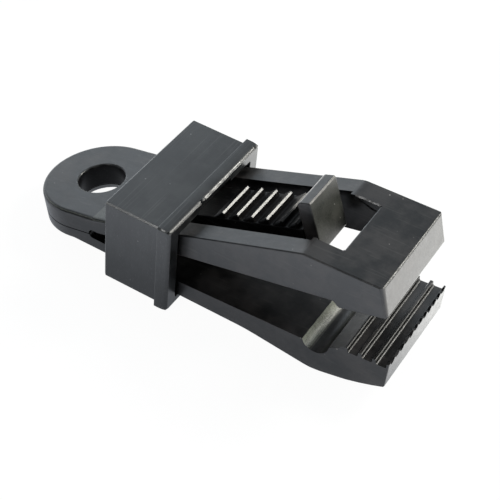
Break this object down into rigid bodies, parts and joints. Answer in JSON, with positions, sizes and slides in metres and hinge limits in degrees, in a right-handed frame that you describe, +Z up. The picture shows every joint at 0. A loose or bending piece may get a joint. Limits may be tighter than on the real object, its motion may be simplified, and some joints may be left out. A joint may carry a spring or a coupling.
{
  "type": "tarp clip",
  "caption": "Tarp clip with a rope eye, hinged ribbed jaws, a ratchet tongue with a thumb release and a sliding collar that squeezes the jaws shut.",
  "frame": {"origin": "middle of the clip's length and width, on the plane that it lies on", "axes": "+X from the rope eye towards the jaw tips, +Z up from the lower jaw to the release tab"},
  "size_m": [0.082, 0.0314, 0.0315],
  "materials": {
    "body_plastic": "black moulded polypropylene with a satin sheen",
    "collar_plastic": "black moulded plastic, slightly greyer, with faint flow lines"
  },
  "bodies": {
    "lower_half": {"lower_jaw": "body_plastic", "upper_eye_plate": "body_plastic"},
    "upper_half": {"upper_jaw": "body_plastic"},
    "tongue": {"ratchet_tongue": "body_plastic", "release_tab": "body_plastic"},
    "collar": {"locking_collar": "collar_plastic"}
  },
  "joints": [
    {"name": "collar_slide", "type": "slide", "parent": "lower_half", "child": "collar", "axis": [1, 0, 0], "range_m": [0, 0.013]},
    {"name": "jaw_close", "type": "hinge", "parent": "lower_half", "child": "upper_half", "pos_m": [-0.01412, 0, 0.0113], "axis": [0, 1, 0], "range_deg": [0, 11]},
    {"name": "tongue_press", "type": "hinge", "parent": "upper_half", "child": "tongue", "pos_m": [-0.00754, 0, 0.01344], "axis": [0, 1, 0], "range_deg": [0, 7], "stiffness_Nm_per_rad": 0.4}
  ],
  "couplings": [
    {"joint": "jaw_close", "follows": "collar_slide", "rad_per_m": 14.76}
  ]
}
